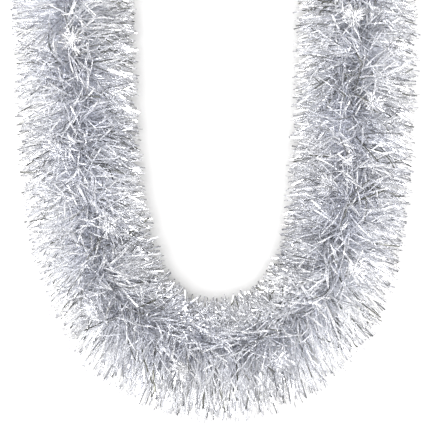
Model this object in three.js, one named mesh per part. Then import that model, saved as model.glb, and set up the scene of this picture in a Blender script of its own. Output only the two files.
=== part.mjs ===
// Tinsel boa, lying in a U: a two-ply twisted core that grips a round pile of film strips,
// with a pressed metal ferrule on each end of the core. Millimetres, +Z up, resting on z = 0.
import * as THREE from 'three';
import { mergeVertices } from 'three/addons/utils/BufferGeometryUtils.js';

// Core: the route of its middle line in plan, from the left end round the bend to the right end.
const corePoints = [
  [-123, 450], [-125, 376], [-127, 291], [-126, 206], [-123, 116], [-121, 36], [-119, -44],
  [-118, -104], [-116, -154], [-114, -204], [-111, -239], [-107, -273], [-101, -304],
  [-92, -332], [-82, -351], [-69, -366], [-53, -377], [-36, -384], [-18, -389], [0, -390],
  [18, -389], [36, -385], [54, -378], [71, -367], [85, -352], [96, -334], [103, -312],
  [108, -285], [112, -249], [115, -209], [117, -159], [118, -104], [119, -44], [121, 36],
  [123, 116], [126, 206], [127, 291], [123, 376], [121, 450],
];
const coreHeight = 42;
const plyRadius = 0.75;
const plyOffset = 0.9; // each ply's middle line above or below the core's
const plySides = 8;
const coreSteps = 72;

// Pile: film strips round the core, drawn as ridged sections that lean towards -Y.
const sectionCount = 36;
const sectionSteps = 2;
const sectionGap = 0.5;
const pileRadius = 43; // at a section's ends
const pileBulge = 7; // added at a section's middle
const pileLump = 2; // how much the bulge swells and shrinks from section to section
const sectionsPerLump = 3.4;
const pileLean = 22; // how far the strip tips of the legs lie towards -Y of their roots
const bendSag = 10; // how far the strip tips of the bend hang towards -Y of a round outline
const ridgeCount = 8;
const ridgeTipWidth = 8;
const valleyRadius = 15;
const boreRadius = 2.2;
const boreSides = 8;

// Ferrules: a pressed cup over each end of the core.
const ferruleLength = 12;
const ferruleRadius = 3;
const ferruleBore = 1.95;
const ferruleWall = 1.2;
const ferruleGroove = 0.35;
const grooveBand = [0.3, 0.7]; // where the pressed groove starts and ends, over the ferrule's length
const grooveFloor = [0.4, 0.6];
const rimLip = 0.4; // the small slant that breaks the rim's edge
const ferruleSides = 16;
const ferruleToPile = 2;
const coreInset = 1.6; // from the ferrule's closed end face to the cut end of the core

// Stand-in finishes.
const filmFinish = { color: 0xc4c7d0, roughness: 0.3, metalness: 0.85 };
const coreFinish = { color: 0x9a9da6, roughness: 0.6, metalness: 0.2 };
const ferruleFinish = { color: 0xb4b4b8, roughness: 0.35, metalness: 1 };

const routeDivisions = 2000; // for the route's length table
const weldDistance = 1e-4;

const up = new THREE.Vector3(0, 0, 1);

function makeRoute(height) {
  const points = corePoints.map(([x, y]) => new THREE.Vector3(x, y, height));
  const route = new THREE.CatmullRomCurve3(points, false, 'centripetal');
  route.arcLengthDivisions = routeDivisions;
  return route;
}

// Stretch of the route between two distances along it, as a curve of its own.
class RouteStretch extends THREE.Curve {
  constructor(route, from, to) {
    super();
    this.route = route;
    this.start = from / route.getLength();
    this.span = (to - from) / route.getLength();
  }

  getPoint(t, target = new THREE.Vector3()) {
    return this.route.getPointAt(this.start + this.span * t, target);
  }
}

const coreRoute = makeRoute(coreHeight);
const coreLength = coreRoute.getLength();

// Ridged outline round the bore, with one ridge straight down so that the pile has a flat foot.
function pileOutline() {
  const outline = new THREE.Shape();
  const tipHalfAngle = Math.asin(ridgeTipWidth / 2 / pileRadius);
  for (let ridge = 0; ridge < ridgeCount; ridge += 1) {
    const middle = -Math.PI / 2 + (ridge * 2 * Math.PI) / ridgeCount;
    const valley = middle + Math.PI / ridgeCount;
    const first = middle - tipHalfAngle;
    const last = middle + tipHalfAngle;
    if (ridge === 0) {
      outline.moveTo(pileRadius * Math.cos(first), pileRadius * Math.sin(first));
    } else {
      outline.lineTo(pileRadius * Math.cos(first), pileRadius * Math.sin(first));
    }
    outline.lineTo(pileRadius * Math.cos(last), pileRadius * Math.sin(last));
    outline.lineTo(valleyRadius * Math.cos(valley), valleyRadius * Math.sin(valley));
  }
  outline.closePath();
  const bore = new THREE.Path();
  bore.absarc(0, 0, boreRadius, 0, 2 * Math.PI, true);
  outline.holes.push(bore);
  return outline;
}

// A section is extruded straight, then bent onto its stretch of the route. Its strips lean along
// the core towards -Y, fully in the legs and less and less round the bend.
function pileSection(from, to, bulge) {
  const length = to - from;
  const geometry = new THREE.ExtrudeGeometry(pileOutline(), {
    depth: length,
    steps: sectionSteps,
    curveSegments: boreSides / 2,
    bevelEnabled: false,
  });
  const position = geometry.getAttribute('position');
  const local = new THREE.Vector3();
  const middle = new THREE.Vector3();
  const tangent = new THREE.Vector3();
  const side = new THREE.Vector3();
  for (let i = 0; i < position.count; i += 1) {
    local.fromBufferAttribute(position, i);
    const outward = Math.max(0, Math.hypot(local.x, local.y) - boreRadius) / (pileRadius - boreRadius);
    const scale = 1 + outward * (bulge / pileRadius) * Math.sin((Math.PI * local.z) / length);
    const u = (from + local.z) / coreLength;
    coreRoute.getPointAt(u, middle);
    coreRoute.getTangentAt(u, tangent);
    side.crossVectors(up, tangent);
    middle.addScaledVector(side, local.x * scale);
    middle.addScaledVector(tangent, -tangent.y * pileLean * outward);
    middle.y -= tangent.x ** 2 * bendSag * outward;
    middle.z = Math.max(0, middle.z + local.y * scale);
    position.setXYZ(i, middle.x, middle.y, middle.z);
  }
  return geometry;
}

function plyTube(height) {
  const section = new THREE.Shape();
  section.absarc(0, 0, plyRadius, 0, 2 * Math.PI, false);
  const route = makeRoute(height);
  const stretch = new RouteStretch(route, coreInset, route.getLength() - coreInset);
  return new THREE.ExtrudeGeometry(section, {
    steps: coreSteps,
    curveSegments: plySides / 2,
    extrudePath: stretch,
  });
}

// A ferrule's profile, from the axis inside its closed end, out to the rim and back over it.
function ferruleCup() {
  const profile = [
    [0, ferruleWall],
    [ferruleBore, ferruleWall],
    [ferruleBore, ferruleLength],
    [ferruleRadius - rimLip, ferruleLength],
    [ferruleRadius, ferruleLength - rimLip],
    [ferruleRadius, ferruleLength * grooveBand[1]],
    [ferruleRadius - ferruleGroove, ferruleLength * grooveFloor[1]],
    [ferruleRadius - ferruleGroove, ferruleLength * grooveFloor[0]],
    [ferruleRadius, ferruleLength * grooveBand[0]],
    [ferruleRadius, rimLip * 2],
    [ferruleRadius - rimLip * 2, 0],
    [0, 0],
  ].map(([radius, height]) => new THREE.Vector2(radius, height));
  return new THREE.LatheGeometry(profile.reverse(), ferruleSides);
}

function weld(geometry) {
  geometry.deleteAttribute('normal');
  geometry.deleteAttribute('uv');
  const welded = mergeVertices(geometry, weldDistance);
  welded.computeVertexNormals();
  return welded;
}

const boa = new THREE.Group();

function addPart(name, geometry, finish) {
  const part = new THREE.Mesh(weld(geometry), new THREE.MeshStandardMaterial(finish));
  part.name = name;
  boa.add(part);
  return part;
}

const pileStart = ferruleLength + ferruleToPile;
const sectionLength = (coreLength - 2 * pileStart) / sectionCount;
for (let i = 0; i < sectionCount; i += 1) {
  const from = pileStart + i * sectionLength + sectionGap / 2;
  const to = from + sectionLength - sectionGap;
  const bulge = pileBulge + pileLump * Math.sin((2 * Math.PI * i) / sectionsPerLump);
  const name = `tinsel_section_${String(i + 1).padStart(2, '0')}`;
  addPart(name, pileSection(from, to, bulge), filmFinish);
}

addPart('core_ply_upper', plyTube(coreHeight + plyOffset), coreFinish);
addPart('core_ply_lower', plyTube(coreHeight - plyOffset), coreFinish);

// Each ferrule stands on its closed end, at the route's end, and opens along the core.
const ferruleEnds = [['ferrule_left', 0, 1], ['ferrule_right', 1, -1]];
for (const [name, u, inward] of ferruleEnds) {
  const ferrule = addPart(name, ferruleCup(), ferruleFinish);
  const opening = coreRoute.getTangentAt(u).multiplyScalar(inward);
  ferrule.position.copy(coreRoute.getPointAt(u));
  ferrule.quaternion.setFromUnitVectors(new THREE.Vector3(0, 1, 0), opening);
}

export default boa;
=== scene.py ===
import bpy
import math
import numpy as np
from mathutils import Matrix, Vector


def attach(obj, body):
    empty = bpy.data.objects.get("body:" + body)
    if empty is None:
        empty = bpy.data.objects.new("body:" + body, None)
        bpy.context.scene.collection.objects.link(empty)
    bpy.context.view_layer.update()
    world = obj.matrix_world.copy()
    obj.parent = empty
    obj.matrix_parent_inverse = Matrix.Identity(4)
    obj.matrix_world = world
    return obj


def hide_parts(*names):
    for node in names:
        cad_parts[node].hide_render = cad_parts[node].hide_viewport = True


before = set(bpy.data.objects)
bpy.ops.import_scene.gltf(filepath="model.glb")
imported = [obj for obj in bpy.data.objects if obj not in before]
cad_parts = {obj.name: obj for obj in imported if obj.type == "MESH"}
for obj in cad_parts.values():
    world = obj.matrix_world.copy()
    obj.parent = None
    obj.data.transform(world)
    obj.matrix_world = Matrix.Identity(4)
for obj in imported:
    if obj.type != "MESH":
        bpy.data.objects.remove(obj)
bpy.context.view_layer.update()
scene = bpy.context.scene
scene.view_settings.view_transform = "Standard"
scene.cycles.use_denoising = True
scene.cycles.denoising_prefilter = "NONE"  # a prefilter would smear the strips
scene.cycles.filter_width = 1.35
scene.cycles.max_bounces = 16
scene.cycles.diffuse_bounces = 8
scene.cycles.glossy_bounces = 12
print("frame loaded, nodes:", len(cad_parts))

upward = np.array([0.0, 0.0, 1.0])
towardBend = np.array([0.0, -1.0, 0.0])  # the strips lie over this way
white = (1.0, 1.0, 1.0)

cameraLook = {
    "lens": 135.0,
    "sensor": 36.0,
    "shownWidth": 0.357,  # metres across at the height of the core
    "middle": (0.0, -0.2815),
    "lookHeight": 0.042,
    "clip": (0.05, 20.0),
}


def placeCamera():
    data = bpy.data.cameras.new("camera")
    data.lens = cameraLook["lens"]
    data.sensor_width = cameraLook["sensor"]
    distance = cameraLook["shownWidth"] * cameraLook["lens"] / cameraLook["sensor"]
    camera = bpy.data.objects.new("camera", data)
    scene.collection.objects.link(camera)
    camera.location = (*cameraLook["middle"], cameraLook["lookHeight"] + distance)
    camera.rotation_euler = (0.0, 0.0, 0.0)  # straight down, +Y up the picture
    data.clip_start, data.clip_end = cameraLook["clip"]
    scene.camera = camera


placeCamera()
print("camera placed")

coreHeight = 0.042
corePoints = [
    (-0.123, 0.450), (-0.125, 0.376), (-0.127, 0.291), (-0.126, 0.206), (-0.123, 0.116),
    (-0.121, 0.036), (-0.119, -0.044), (-0.118, -0.104), (-0.116, -0.154), (-0.114, -0.204),
    (-0.111, -0.239), (-0.107, -0.273), (-0.101, -0.304), (-0.092, -0.332), (-0.082, -0.351),
    (-0.069, -0.366), (-0.053, -0.377), (-0.036, -0.384), (-0.018, -0.389), (0.000, -0.390),
    (0.018, -0.389), (0.036, -0.385), (0.054, -0.378), (0.071, -0.367), (0.085, -0.352),
    (0.096, -0.334), (0.103, -0.312), (0.108, -0.285), (0.112, -0.249), (0.115, -0.209),
    (0.117, -0.159), (0.118, -0.104), (0.119, -0.044), (0.121, 0.036), (0.123, 0.116),
    (0.126, 0.206), (0.127, 0.291), (0.123, 0.376), (0.121, 0.450),
]


def smoothRoute(points, stepsPerSpan=60):
    # centripetal Catmull-Rom through the points, with the ends carried straight on
    pts = np.array(points)
    pts = np.vstack([2 * pts[0] - pts[1], pts, 2 * pts[-1] - pts[-2]])
    line = []
    for i in range(1, len(pts) - 2):
        p0, p1, p2, p3 = pts[i - 1:i + 3]
        pairs = ((p0, p1), (p1, p2), (p2, p3))
        gap0, gap1, gap2 = [math.sqrt(np.linalg.norm(b - a)) for a, b in pairs]
        tan1 = ((p1 - p0) / gap0 - (p2 - p0) / (gap0 + gap1) + (p2 - p1) / gap1) * gap1
        tan2 = ((p2 - p1) / gap1 - (p3 - p1) / (gap1 + gap2) + (p3 - p2) / gap2) * gap1
        for step in range(stepsPerSpan):
            t = step / stepsPerSpan
            line.append(
                (2 * t**3 - 3 * t**2 + 1) * p1 + (t**3 - 2 * t**2 + t) * tan1
                + (3 * t**2 - 2 * t**3) * p2 + (t**3 - t**2) * tan2
            )
    line.append(pts[-2])
    return np.array(line)


routeLine = smoothRoute(corePoints)
routeSteps = np.linalg.norm(np.diff(routeLine, axis=0), axis=1)
routeDistance = np.concatenate([[0.0], np.cumsum(routeSteps)])
coreLength = routeDistance[-1]
print("core length", round(coreLength, 4))


def routePoint(distance):
    x = np.interp(distance, routeDistance, routeLine[:, 0])
    y = np.interp(distance, routeDistance, routeLine[:, 1])
    return np.stack([x, y, np.full_like(x, coreHeight)], axis=-1)


def unit(vectors):
    return vectors / np.linalg.norm(vectors, axis=-1, keepdims=True)


def routeHeading(distance):
    reach = 0.002
    return unit(routePoint(distance + reach) - routePoint(distance - reach))


def deselectAll():
    if bpy.context.object and bpy.context.object.mode != "OBJECT":
        bpy.ops.object.mode_set(mode="OBJECT")
    bpy.ops.object.select_all(action="DESELECT")


def activate(obj):
    deselectAll()
    obj.select_set(True)
    bpy.context.view_layer.objects.active = obj


def meshFromArrays(name, vertices, faces):
    mesh = bpy.data.meshes.new(name)
    mesh.vertices.add(len(vertices))
    mesh.vertices.foreach_set("co", vertices.astype(np.float32).ravel())
    mesh.loops.add(faces.size)
    mesh.loops.foreach_set("vertex_index", faces.astype(np.int32).ravel())
    mesh.polygons.add(len(faces))
    loopStarts = np.arange(0, faces.size, faces.shape[1], dtype=np.int32)
    mesh.polygons.foreach_set("loop_start", loopStarts)
    mesh.update(calc_edges=True)
    mesh.validate()
    obj = bpy.data.objects.new(name, mesh)
    scene.collection.objects.link(obj)
    return obj


def addPointValues(obj, name, values):
    layer = obj.data.attributes.new(name, "FLOAT", "POINT")
    layer.data.foreach_set("value", np.asarray(values, np.float32))


def smoothByAngle(obj, degrees):
    activate(obj)
    bpy.ops.object.shade_smooth_by_angle(angle=math.radians(degrees))


def newMaterial(name):
    material = bpy.data.materials.new(name)
    material.use_nodes = True
    tree = material.node_tree
    return material, tree.nodes, tree.links, tree.nodes["Principled BSDF"]


mottleDetail = {"coarse": 3.0, "fine": 5.0}


def buildMottleGroup():
    # two scales of noise: "Mask" for tone and gloss, "Height" for bump
    group = bpy.data.node_groups.new("finish mottle", "ShaderNodeTree")
    sockets = group.interface
    sockets.new_socket("Vector", in_out="INPUT", socket_type="NodeSocketVector")
    for name in ("Coarse Scale", "Fine Scale", "Fine Share"):
        sockets.new_socket(name, in_out="INPUT", socket_type="NodeSocketFloat")
    for name in ("Mask", "Height"):
        sockets.new_socket(name, in_out="OUTPUT", socket_type="NodeSocketFloat")
    nodes, links = group.nodes, group.links
    entry = nodes.new("NodeGroupInput")
    leave = nodes.new("NodeGroupOutput")
    broad = nodes.new("ShaderNodeTexNoise")
    broad.inputs["Detail"].default_value = mottleDetail["coarse"]
    small = nodes.new("ShaderNodeTexNoise")
    small.inputs["Detail"].default_value = mottleDetail["fine"]
    mix = nodes.new("ShaderNodeMix")
    links.new(entry.outputs["Vector"], broad.inputs["Vector"])
    links.new(entry.outputs["Vector"], small.inputs["Vector"])
    links.new(entry.outputs["Coarse Scale"], broad.inputs["Scale"])
    links.new(entry.outputs["Fine Scale"], small.inputs["Scale"])
    links.new(entry.outputs["Fine Share"], mix.inputs["Factor"])
    links.new(broad.outputs["Fac"], mix.inputs["A"])
    links.new(small.outputs["Fac"], mix.inputs["B"])
    links.new(mix.outputs["Result"], leave.inputs["Mask"])
    links.new(small.outputs["Fac"], leave.inputs["Height"])
    return group


mottleGroup = buildMottleGroup()


def addMottle(nodes, links, coarse, fine, share):
    coords = nodes.new("ShaderNodeTexCoord")
    mottle = nodes.new("ShaderNodeGroup")
    mottle.node_tree = mottleGroup
    mottle.inputs["Coarse Scale"].default_value = coarse
    mottle.inputs["Fine Scale"].default_value = fine
    mottle.inputs["Fine Share"].default_value = share
    links.new(coords.outputs["Object"], mottle.inputs["Vector"])
    return mottle


def addRamp(nodes, links, source, stops):
    stops = list(stops)
    ramp = nodes.new("ShaderNodeValToRGB")
    elements = ramp.color_ramp.elements
    while len(elements) < len(stops):
        elements.new(0.5)
    for element, (place, colour) in zip(elements, stops):
        element.position = place
        element.color = (*colour, 1.0)
    links.new(source, ramp.inputs["Fac"])
    return ramp


def addRange(nodes, links, source, low, high):
    spread = nodes.new("ShaderNodeMapRange")
    spread.inputs["To Min"].default_value = low
    spread.inputs["To Max"].default_value = high
    links.new(source, spread.inputs["Value"])
    return spread.outputs["Result"]


def addBump(nodes, links, height, shader, strength, distance):
    bump = nodes.new("ShaderNodeBump")
    bump.inputs["Strength"].default_value = strength
    bump.inputs["Distance"].default_value = distance
    links.new(height, bump.inputs["Height"])
    links.new(bump.outputs["Normal"], shader.inputs["Normal"])


def readPointValue(nodes, name):
    attribute = nodes.new("ShaderNodeAttribute")
    attribute.attribute_name = name
    return attribute.outputs["Fac"]


def multiplyColours(nodes, links, first, second):
    mix = nodes.new("ShaderNodeMix")
    mix.data_type = "RGBA"
    mix.blend_type = "MULTIPLY"
    mix.inputs["Factor"].default_value = 1.0
    links.new(first, mix.inputs["A"])
    links.new(second, mix.inputs["B"])
    return mix.outputs["Result"]


def makeMottledMaterial(name, finish):
    material, nodes, links, shader = newMaterial(name)
    mottle = addMottle(nodes, links, finish["coarse"], finish["fine"], finish["share"])
    mask = mottle.outputs["Mask"]
    ramp = addRamp(nodes, links, mask, zip(finish["stops"], (finish["dark"], finish["pale"])))
    links.new(ramp.outputs["Color"], shader.inputs["Base Color"])
    gloss = addRange(nodes, links, mask, finish["roughLow"], finish["roughHigh"])
    links.new(gloss, shader.inputs["Roughness"])
    shader.inputs["Metallic"].default_value = finish["metallic"]
    addBump(nodes, links, mottle.outputs["Height"], shader, finish["bump"], finish["bumpDepth"])
    return material


filmFinish = {
    "toneStops": (0.0, 0.11, 0.20, 0.5),  # from strips with painted dark reflections to the palest
    # the two darkest tones are painted dark reflections, where silver film would mirror dark
    # surroundings
    "paintedDarkReflection": (0.17, 0.17, 0.14),
    "paintedDimReflection": (0.46, 0.465, 0.49),
    "middle": (0.91, 0.915, 0.94),
    "palest": (0.985, 0.985, 0.99),
    "root": (0.95, 0.957, 0.985),  # painted shade: cooler and duller in the depth of the pile
    # painted shade at the tips of the strips, which draws dark edges round the pile
    "paintedTipShade": (0.55, 0.55, 0.56),
    "metalAtRoot": 0.66,
    "metalAtTip": 0.85,
    "roughLow": 0.16,
    "roughHigh": 0.28,
    "rootHaze": 0.13,  # added to the roughness at the root
    "reachStops": (0.35, 0.75, 0.93, 1.0),  # painted depth shade to plain, then plain to the painted shade at the cut end
    "mottleScale": 16.0,
    "crinkleScale": 500.0,
    "crinkleShare": 0.35,
    "crinkle": 0.04,
    "crinkleDepth": 0.0004,
    "speck": (0.93, 0.935, 0.955),
    "speckStops": (0.40, 0.56),
}


def makeFilmMaterial():
    material, nodes, links, shader = newMaterial("metallised film")
    tone = readPointValue(nodes, "stripToneAndPaintedReflection")
    reach = readPointValue(nodes, "stripReach")
    fine, share = filmFinish["crinkleScale"], filmFinish["crinkleShare"]
    mottle = addMottle(nodes, links, filmFinish["mottleScale"], fine, share)
    mask = mottle.outputs["Mask"]
    tones = [filmFinish[key] for key in ("paintedDarkReflection", "paintedDimReflection", "middle", "palest")]
    # low tones give the strips their painted dark reflections, high tones the plain film
    ramp = addRamp(nodes, links, tone, zip(filmFinish["toneStops"], tones))
    speck = addRamp(nodes, links, mask, zip(filmFinish["speckStops"], (filmFinish["speck"], white)))
    # painted shade along each strip: cooler and darker near the core, darker at the cut end
    paintedShadeTints = (filmFinish["root"], white, white, filmFinish["paintedTipShade"])
    paintedShadeAlongStrip = addRamp(nodes, links, reach, zip(filmFinish["reachStops"], paintedShadeTints))
    shade = multiplyColours(nodes, links, ramp.outputs["Color"], speck.outputs["Color"])
    filmColourWithPaintedShade = multiplyColours(nodes, links, shade, paintedShadeAlongStrip.outputs["Color"])
    links.new(filmColourWithPaintedShade, shader.inputs["Base Color"])
    gloss = addRange(nodes, links, mask, filmFinish["roughLow"], filmFinish["roughHigh"])
    haze = addRange(nodes, links, reach, filmFinish["rootHaze"], 0.0)
    total = nodes.new("ShaderNodeMath")
    links.new(gloss, total.inputs[0])
    links.new(haze, total.inputs[1])
    links.new(total.outputs["Value"], shader.inputs["Roughness"])
    metal = addRange(nodes, links, reach, filmFinish["metalAtRoot"], filmFinish["metalAtTip"])
    links.new(metal, shader.inputs["Metallic"])
    crinkle, crinkleDepth = filmFinish["crinkle"], filmFinish["crinkleDepth"]
    addBump(nodes, links, mottle.outputs["Height"], shader, crinkle, crinkleDepth)
    return material


strip = {
    "width": 0.00115,
    "thickness": 0.00007,
    "halfBends": 5,  # straight stretches in each half of a strip
    "pinch": 0.55,  # width between the plies over full width
    "smoothAngle": 40.0,
}


def modelStrip():
    # one flat strip from z = -1 to z = 1, cut into short stretches and pinched at its middle
    deselectAll()
    bpy.ops.mesh.primitive_cube_add(size=2.0, location=(0.0, 0.0, 0.0))
    blank = bpy.context.object
    bpy.ops.object.mode_set(mode="EDIT")
    bpy.ops.mesh.select_all(action="SELECT")
    bpy.ops.transform.resize(value=(strip["width"] / 2, strip["thickness"] / 2, 1.0))
    bpy.ops.mesh.select_mode(type="EDGE")  # with points selected, every edge would be cut
    bpy.ops.mesh.select_all(action="DESELECT")
    bpy.ops.object.mode_set(mode="OBJECT")
    for edge in blank.data.edges:
        a, b = [blank.data.vertices[v].co for v in edge.vertices]
        edge.select = abs(a.z - b.z) > 1.0  # the four long edges
    bpy.ops.object.mode_set(mode="EDIT")
    bpy.ops.mesh.subdivide(number_cuts=2 * strip["halfBends"] - 1)
    bpy.ops.mesh.select_mode(type="VERT")
    bpy.ops.mesh.select_all(action="DESELECT")
    bpy.ops.object.mode_set(mode="OBJECT")
    for vertex in blank.data.vertices:
        vertex.select = abs(vertex.co.z) < 0.01  # the ring at the middle
    bpy.ops.object.mode_set(mode="EDIT")
    bpy.ops.transform.resize(value=(strip["pinch"], 1.0, 1.0))
    bpy.ops.object.mode_set(mode="OBJECT")
    vertices = np.array([v.co[:] for v in blank.data.vertices])
    faces = np.array([p.vertices[:] for p in blank.data.polygons])
    bpy.data.objects.remove(blank, do_unlink=True)
    return vertices, faces


stripVertices, stripFaces = modelStrip()
stripRing = np.rint((stripVertices[:, 2] + 1.0) * strip["halfBends"]).astype(int)

pile = {
    "stripsPerMetre": 8400,  # each shows two ends
    "bunchSpacing": 0.007,  # the strips spring from the core in bunches
    "bunchSpread": 0.004,
    "bunchAngle": 1.1,  # how far a bunch fans out round the core, in radians
    "bunchTurn": 2.4,  # from one bunch to the next, as the core's twist turns them
    "bunchJitter": 0.4,  # how far a bunch strays from that turn
    "flatten": 0.8,  # the pile is pressed down a little by its own weight
    "widthSpread": 0.16,
    "broadShare": 0.03,
    "broadWidth": 1.7,
    "broadTone": 0.1,  # the broad strips are no darker than this
    "halfLength": 0.0512,
    "lengthSpread": 0.035,
    "lengthLimits": (-3.0, 1.6),  # shortest and longest, in spreads from the average
    "sway": 0.30,  # how far a strip leans along the core, either way
    "swayOnTop": 0.25,  # and how much more on the strips that point up
    "lean": 0.34,  # pull towards -Y, over the strip's own direction
    "leanOnTop": 0.3,  # what is left of that pull on a strip that points straight up
    "leanSpread": 0.14,
    "leanAtRoot": 0.3,  # share of the pull at the root
    "leanGrowth": 1.4,  # and how much that share grows to the tip
    "bendLean": 0.6,  # added to that pull round the bend, on the strips that point up
    "bendSag": 0.20,  # how much longer than average they hang below the bend
    "flop": 1.5,  # how far the tips on top fall over sideways, a bunch together
    "flopSpread": 0.6,
    "bendCalm": 0.35,  # how much less they fall over round the bend
    "curl": 0.20,
    "curlTurn": 0.4,  # where on its way out a strip's curl changes side
    "rollTwist": 0.28,
    "floorGap": 0.0003,
    "floorPile": 0.0025,
    "lowest": 0.0001,  # no edge of a strip comes nearer to the floor
    "seed": 41,
}

burst = {
    "places": [  # bunches whose tips splay open on top and catch the light
        (-0.137, 0.082), (-0.115, -0.141), (-0.129, -0.230), (-0.085, -0.290), (-0.100, -0.357),
        (-0.029, -0.405), (0.053, -0.397), (0.114, -0.325), (0.090, -0.257), (0.129, -0.190),
        (0.111, -0.121), (0.134, 0.060), (0.116, 0.250), (-0.118, 0.310),
    ],
    "strips": 62,
    "reach": 0.043,  # from the core to where the tips part
    "splay": 4.5,
    "leastSplay": 0.15,  # share of that
    "splayPower": 8.0,  # the splay comes in the last stretch
    "loose": 0.15,
    "rollSpread": 0.22,
    "leastWidth": 0.6,  # over the full width
    "length": 0.93,  # over that of the other strips
}


def growHalf(rng, strips, sign):
    # follows one half of every strip out from the core, a stretch at a time, and bends it over
    # where it meets the floor
    start, heading, loose = strips["start"], strips["heading"], strips["loose"]
    count = len(start)
    across = np.cross(start, heading)
    topness = np.clip(sign * start[:, 2], 0.0, 1.0)
    inBend = heading[:, 0] ** 2
    lean = pile["lean"] + pile["leanSpread"] * rng.standard_normal(count)
    lean = lean * (1.0 - (1.0 - pile["leanOnTop"]) * topness) + pile["bendLean"] * topness * inBend
    lean = lean * loose
    curl = pile["curl"] * loose[:, None] * rng.standard_normal((count, 2))
    sway = pile["sway"] * (1.0 + pile["swayOnTop"] * topness) * loose * rng.standard_normal(count)
    lowest = pile["floorGap"] + pile["floorPile"] * rng.random(count)
    spread = np.clip(rng.standard_normal(count), *pile["lengthLimits"])
    length = pile["halfLength"] * (1.0 + pile["lengthSpread"] * spread)
    length = length * strips["length"]
    length = length * (1.0 - pile["bendSag"] * inBend * loose * sign * start[:, 1])
    step = length / strip["halfBends"]
    centres = [strips["root"]]
    for bend in range(strip["halfBends"]):
        u = (bend + 0.5) / strip["halfBends"]
        bow = u - pile["curlTurn"]
        pull = pile["leanAtRoot"] + pile["leanGrowth"] * u
        ahead = sign * start + (sway + curl[:, 0] * bow)[:, None] * heading
        ahead = ahead + (curl[:, 1] * bow)[:, None] * across
        ahead = ahead + (topness * u ** strips["overPower"])[:, None] * strips["over"]
        ahead = unit(ahead + (lean * pull)[:, None] * towardBend)
        nextHeight = centres[-1][:, 2] + ahead[:, 2] * step
        low = nextHeight < lowest
        rise = (lowest - centres[-1][:, 2]) / step
        flat = np.hypot(ahead[:, 0], ahead[:, 1])
        stretch = np.sqrt(np.clip(1.0 - rise**2, 0.0, 1.0)) / np.maximum(flat, 1e-6)
        bentDown = np.stack([ahead[:, 0] * stretch, ahead[:, 1] * stretch, rise], axis=-1)
        ahead = np.where(low[:, None], bentDown, ahead)
        centres.append(centres[-1] + ahead * step[:, None])
    return centres[1:]


def plainStrips(rng, fromDistance, toDistance):
    # the strips of one section, in bunches that point every way round the core
    span = toDistance - fromDistance
    count = int(round(span * pile["stripsPerMetre"]))
    bunches = int(round(span / pile["bunchSpacing"]))
    order = np.arange(bunches)
    bunchAt = fromDistance + (order + rng.random(bunches)) / bunches * span
    bunchAngle = rng.uniform(0.0, 2.0 * math.pi) + pile["bunchTurn"] * order
    bunchAngle = bunchAngle + pile["bunchJitter"] * rng.standard_normal(bunches)
    bunchFlop = math.pi * rng.integers(0, 2, bunches)
    bunch = rng.integers(0, bunches, count)
    distance = bunchAt[bunch] + pile["bunchSpread"] * rng.standard_normal(count)
    distance = np.clip(distance, fromDistance, toDistance)
    heading = routeHeading(distance)
    side = np.cross(upward, heading)
    angle = bunchAngle[bunch] + pile["bunchAngle"] * rng.standard_normal(count)
    start = unit(np.cos(angle)[:, None] * side + pile["flatten"] * np.sin(angle)[:, None] * upward)
    flopAngle = bunchFlop[bunch] + pile["flopSpread"] * rng.standard_normal(count)
    calm = pile["flop"] * (1.0 - pile["bendCalm"] * heading[:, 0] ** 2)
    sideways, lengthways = calm * np.cos(flopAngle), calm * np.sin(flopAngle)
    broad = rng.random(count) < pile["broadShare"]
    tone = rng.random(count)
    roll = rng.uniform(0.0, math.pi, count)
    width = 1.0 + pile["widthSpread"] * rng.standard_normal(count)
    return {
        "root": routePoint(distance),
        "heading": heading,
        "start": start,
        "over": sideways[:, None] * side + lengthways[:, None] * heading,
        "overPower": np.ones(count),
        "loose": np.ones(count),
        "length": np.ones(count),
        "roll": roll,
        "width": width * np.where(broad, pile["broadWidth"], 1.0),
        "tone": np.where(broad, np.maximum(tone, pile["broadTone"]), tone),
    }


def burstStrips(rng, place, distance):
    # one tight bunch that runs up to the place on top of the pile and splays open there
    count = burst["strips"]
    root = routePoint(np.full(count, distance))
    aside = math.hypot(place[0] - root[0, 0], place[1] - root[0, 1])
    target = np.array([*place, coreHeight + math.sqrt(max(burst["reach"] ** 2 - aside**2, 0.0))])
    start = unit(target - root)
    heading = routeHeading(np.full(count, distance))
    first = unit(np.cross(start, heading))
    second = np.cross(start, first)
    turn = rng.uniform(0.0, 2.0 * math.pi, count)
    splay = burst["splay"] * rng.uniform(burst["leastSplay"], 1.0, count)
    return {
        "root": root,
        "heading": heading,
        "start": start,
        "over": (splay * np.cos(turn))[:, None] * first + (splay * np.sin(turn))[:, None] * second,
        "overPower": np.full(count, burst["splayPower"]),
        "loose": np.full(count, burst["loose"]),
        "length": np.full(count, burst["length"]),
        "roll": burst["rollSpread"] * rng.standard_normal(count),
        "width": rng.uniform(burst["leastWidth"], 1.0, count),
        "tone": np.ones(count),
    }


def nearestDistance(place):
    gaps = np.hypot(routeLine[:, 0] - place[0], routeLine[:, 1] - place[1])
    return float(routeDistance[np.argmin(gaps)])


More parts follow.
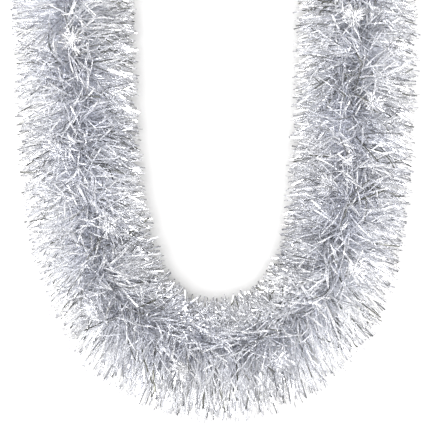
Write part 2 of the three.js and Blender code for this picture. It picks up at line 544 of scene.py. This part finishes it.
def sweepStrips(rng, strips, centres):
    # lays the model strip along every path, rolled and lightly twisted about it
    legs = np.diff(centres, axis=1)
    tangent = unit(np.concatenate([legs[:, :1], legs[:, 1:] + legs[:, :-1], legs[:, -1:]], axis=1))
    level = np.cross(upward, tangent)  # a burst's strips lie face up, the others face any way
    facing = (strips["overPower"] > 1.0)[:, None, None]
    base = np.where(facing, level, strips["heading"][:, None, :])
    flatWay = unit(base - np.sum(base * tangent, axis=-1, keepdims=True) * tangent)
    faceWay = np.cross(tangent, flatWay)
    along = np.linspace(-1.0, 1.0, centres.shape[1])
    twist = pile["rollTwist"] * strips["loose"] * rng.standard_normal(len(centres))
    roll = strips["roll"][:, None] + twist[:, None] * along
    cosRoll, sinRoll = np.cos(roll)[..., None], np.sin(roll)[..., None]
    widthWay = cosRoll * flatWay + sinRoll * faceWay
    normalWay = cosRoll * faceWay - sinRoll * flatWay
    vertices = (
        centres[:, stripRing]
        + stripVertices[None, :, 0, None] * strips["width"][:, None, None] * widthWay[:, stripRing]
        + stripVertices[None, :, 1, None] * normalWay[:, stripRing]
    )
    vertices[..., 2] = np.maximum(vertices[..., 2], pile["lowest"])
    return vertices.reshape(-1, 3)


def growSection(rng, fromDistance, toDistance):
    batches = [plainStrips(rng, fromDistance, toDistance)]
    for place in burst["places"]:
        distance = nearestDistance(place)
        if fromDistance <= distance < toDistance:
            batches.append(burstStrips(rng, place, distance))
    strips = {key: np.concatenate([batch[key] for batch in batches]) for key in batches[0]}
    count = len(strips["root"])
    ahead = growHalf(rng, strips, 1.0)
    behind = growHalf(rng, strips, -1.0)
    centres = np.stack(behind[::-1] + [strips["root"]] + ahead, axis=1)
    vertices = sweepStrips(rng, strips, centres)
    shift = len(stripVertices) * np.arange(count)
    faces = stripFaces[None] + shift[:, None, None]
    tone = np.repeat(strips["tone"], len(stripVertices))
    reach = np.tile(np.abs(stripVertices[:, 2]), count)  # 0 at the core, 1 at the tips
    return vertices, faces.reshape(-1, 4), tone, reach


filmMaterial = makeFilmMaterial()
sectionNames = sorted(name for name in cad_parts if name.startswith("tinsel_section"))
ferruleCover = 0.014  # from each end of the core to the pile


def makePile():
    sectionLength = (coreLength - 2 * ferruleCover) / len(sectionNames)
    total = 0
    for i, node in enumerate(sectionNames):
        rng = np.random.default_rng(pile["seed"] + i)
        fromDistance = ferruleCover + i * sectionLength
        vertices, faces, tone, reach = growSection(rng, fromDistance, fromDistance + sectionLength)
        tuft = meshFromArrays("film_pile_" + node[-2:], vertices, faces)
        addPointValues(tuft, "stripToneAndPaintedReflection", tone)
        addPointValues(tuft, "stripReach", reach)
        tuft.data.materials.append(filmMaterial)
        smoothByAngle(tuft, strip["smoothAngle"])
        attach(tuft, "root")
        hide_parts(node)
        total += len(faces) * 2
    print("pile grown, triangles:", total)


makePile()


core = {
    "plyRadius": 0.00075,
    "plyOffset": 0.0009,
    "twistPitch": 0.011,
    "stepsPerTurn": 10,
    "sides": 8,
    "inset": 0.0016,
    "pathPoints": 361,
    "smoothAngle": 50.0,
}

yarnFinish = {
    "coarse": 300.0,
    "fine": 2500.0,
    "share": 0.5,
    "stops": (0.3, 0.7),
    "dark": (0.20, 0.21, 0.23),
    "pale": (0.52, 0.53, 0.56),
    "roughLow": 0.6,
    "roughHigh": 0.85,
    "metallic": 0.0,
    "bump": 0.6,
    "bumpDepth": 0.0002,
}


def twistedPly(phase):
    turns = (coreLength - 2 * core["inset"]) / core["twistPitch"]
    steps = int(turns * core["stepsPerTurn"])
    distance = np.linspace(core["inset"], coreLength - core["inset"], steps + 1)
    heading = routeHeading(distance)
    side = np.cross(upward, heading)
    angle = phase + 2.0 * math.pi * distance / core["twistPitch"]
    offset = np.cos(angle)[:, None] * side + np.sin(angle)[:, None] * upward
    middle = routePoint(distance) + core["plyOffset"] * offset
    tangent = unit(np.gradient(middle, axis=0))
    outward = unit(offset - np.sum(offset * tangent, axis=-1, keepdims=True) * tangent)
    other = np.cross(tangent, outward)
    rings = []
    for k in range(core["sides"]):
        turn = 2.0 * math.pi * k / core["sides"]
        way = math.cos(turn) * outward + math.sin(turn) * other
        rings.append(middle + core["plyRadius"] * way)
    return np.stack(rings, axis=1)


def tubeFaces(ringCount, sides, first):
    faces = []
    for ring in range(ringCount - 1):
        for k in range(sides):
            a = first + ring * sides + k
            b = first + ring * sides + (k + 1) % sides
            faces.append((a, b, b + sides, a + sides))
    return faces


def makeCore():
    vertices, faces = [], []
    for phase in (0.0, math.pi):
        rings = twistedPly(phase)
        first = len(vertices)
        vertices.extend(rings.reshape(-1, 3).tolist())
        faces.extend(tubeFaces(len(rings), core["sides"], first))
        last = first + (len(rings) - 1) * core["sides"]
        faces.append(tuple(first + k for k in reversed(range(core["sides"]))))
        faces.append(tuple(last + k for k in range(core["sides"])))
    mesh = bpy.data.meshes.new("twisted_core")
    mesh.from_pydata(vertices, [], faces)
    piece = bpy.data.objects.new("twisted_core", mesh)
    scene.collection.objects.link(piece)
    mesh.materials.append(makeMottledMaterial("core yarn", yarnFinish))
    smoothByAngle(piece, core["smoothAngle"])
    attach(piece, "root")
    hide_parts("core_ply_upper", "core_ply_lower")
    print("core twisted")


makeCore()


ferruleFinish = {
    "coarse": 200.0,
    "fine": 1800.0,
    "share": 0.4,
    "stops": (0.3, 0.7),
    "dark": (0.50, 0.51, 0.53),
    "pale": (0.72, 0.73, 0.75),
    "roughLow": 0.22,
    "roughHigh": 0.42,
    "metallic": 1.0,
    "bump": 0.3,
    "bumpDepth": 0.0002,
}

ferruleMaterial = makeMottledMaterial("ferrule metal", ferruleFinish)
for node in ("ferrule_left", "ferrule_right"):
    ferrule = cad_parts[node]
    ferrule.data.materials.clear()
    ferrule.data.materials.append(ferruleMaterial)
print("ferrules finished")


floorLook = {
    "size": 12.0,
    "tone": (0.62, 0.617, 0.613),
    "shade": 0.985,  # of the darker mottles, over the tone
    "stops": (0.3, 0.7),
    "coarse": 2.0,
    "fine": 60.0,
    "share": 0.3,
    "roughness": 0.9,
}

studio = {
    "skyDark": (0.18, 0.18, 0.19),
    "skyBright": (1.5, 1.5, 1.51),
    "skyStops": (0.42, 0.58),
    "skyPatches": 2.6,
    "skyDetail": 1.0,
    "skyStrength": 1.0,
    "wall": (0.93, 0.93, 0.93),
    "key": {"place": (-1.1, 0.6, 1.5), "size": 1.0, "power": 20.0},
    "fill": {"place": (1.5, -1.2, 1.2), "size": 1.2, "power": 10.0},
    "top": {"place": (0.0, -0.28, 9.0), "size": 4.1, "power": 1000.0},
    "aim": (0.0, -0.28, 0.04),
}


def makeFloor():
    deselectAll()
    bpy.ops.mesh.primitive_plane_add(size=floorLook["size"], location=(0.0, 0.0, 0.0))
    floor = bpy.context.object
    floor.name = "floor"
    material, nodes, links, shader = newMaterial("floor paper")
    mottle = addMottle(nodes, links, floorLook["coarse"], floorLook["fine"], floorLook["share"])
    base = np.array(floorLook["tone"])
    tones = (tuple(base * floorLook["shade"]), tuple(base))
    ramp = addRamp(nodes, links, mottle.outputs["Mask"], zip(floorLook["stops"], tones))
    links.new(ramp.outputs["Color"], shader.inputs["Base Color"])
    shader.inputs["Roughness"].default_value = floorLook["roughness"]
    floor.data.materials.append(material)


def makeSky():
    world = bpy.data.worlds.new("studio")
    world.use_nodes = True
    scene.world = world
    nodes, links = world.node_tree.nodes, world.node_tree.links
    background = nodes["Background"]
    coords = nodes.new("ShaderNodeTexCoord")
    patches = nodes.new("ShaderNodeTexNoise")
    patches.inputs["Scale"].default_value = studio["skyPatches"]
    patches.inputs["Detail"].default_value = studio["skyDetail"]
    links.new(coords.outputs["Generated"], patches.inputs["Vector"])
    tones = (studio["skyDark"], studio["skyBright"])
    ramp = addRamp(nodes, links, patches.outputs["Fac"], zip(studio["skyStops"], tones))
    # the patches light the film, and the camera sees a plain wall in their place
    seen = nodes.new("ShaderNodeLightPath")
    wall = nodes.new("ShaderNodeMix")
    wall.data_type = "RGBA"
    wall.inputs["B"].default_value = (*studio["wall"], 1.0)
    links.new(seen.outputs["Is Camera Ray"], wall.inputs["Factor"])
    links.new(ramp.outputs["Color"], wall.inputs["A"])
    links.new(wall.outputs["Result"], background.inputs["Color"])
    background.inputs["Strength"].default_value = studio["skyStrength"]


def makeLamp(name):
    settings = studio[name]
    data = bpy.data.lights.new(name, "AREA")
    data.shape = "SQUARE"
    data.size = settings["size"]
    data.energy = settings["power"]
    lamp = bpy.data.objects.new(name, data)
    scene.collection.objects.link(lamp)
    lamp.location = settings["place"]
    toward = Vector(studio["aim"]) - Vector(settings["place"])
    lamp.rotation_euler = toward.to_track_quat("-Z", "Y").to_euler()


makeFloor()
makeSky()
for name in ("key", "fill", "top"):
    makeLamp(name)
print("floor and light placed")
